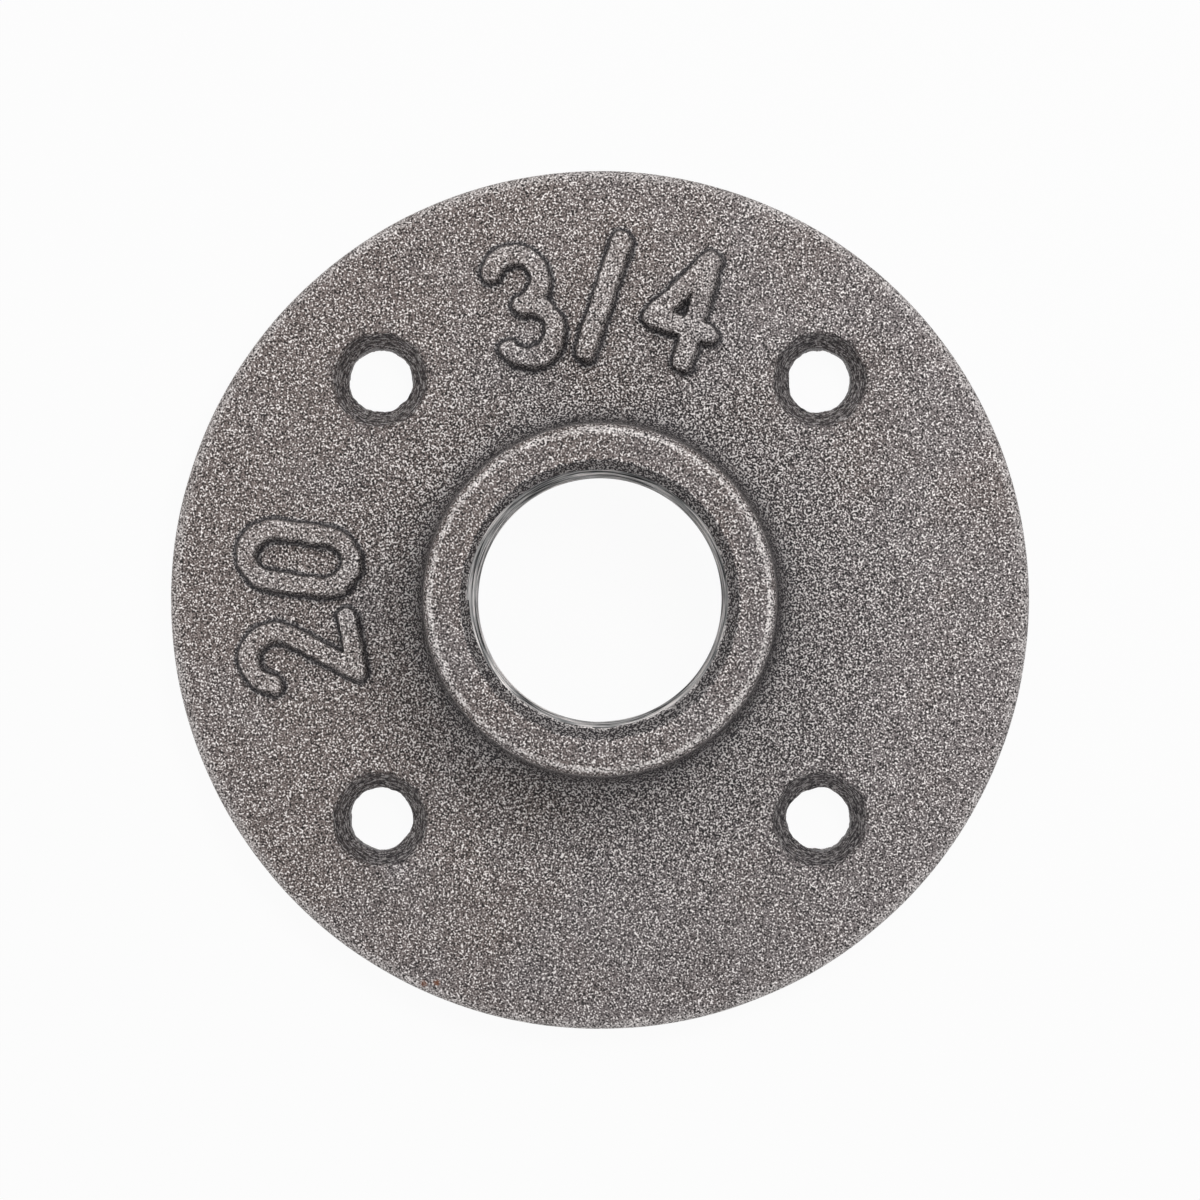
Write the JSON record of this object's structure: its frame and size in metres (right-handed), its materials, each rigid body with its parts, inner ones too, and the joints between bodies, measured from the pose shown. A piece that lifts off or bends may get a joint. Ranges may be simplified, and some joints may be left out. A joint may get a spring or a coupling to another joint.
{
  "type": "threaded floor flange",
  "caption": "Round cast-iron floor flange: a flat disc with a raised threaded hub that holds a pipe upright, and countersunk holes for screwing it down.",
  "frame": {"origin": "centre of the flat back face, on the axis of the pipe thread", "axes": "+Z along the pipe thread, from the back face to the hub's mouth; +X and +Y run midway between neighbouring screw holes"},
  "size_m": [0.087, 0.087, 0.02],
  "materials": {
    "cast_iron": "bare sand-cast skin, grainy, warm grey, with a dull sparkle"
  },
  "bodies": {
    "root": {"floor_flange": "cast_iron"}
  },
  "joints": []
}
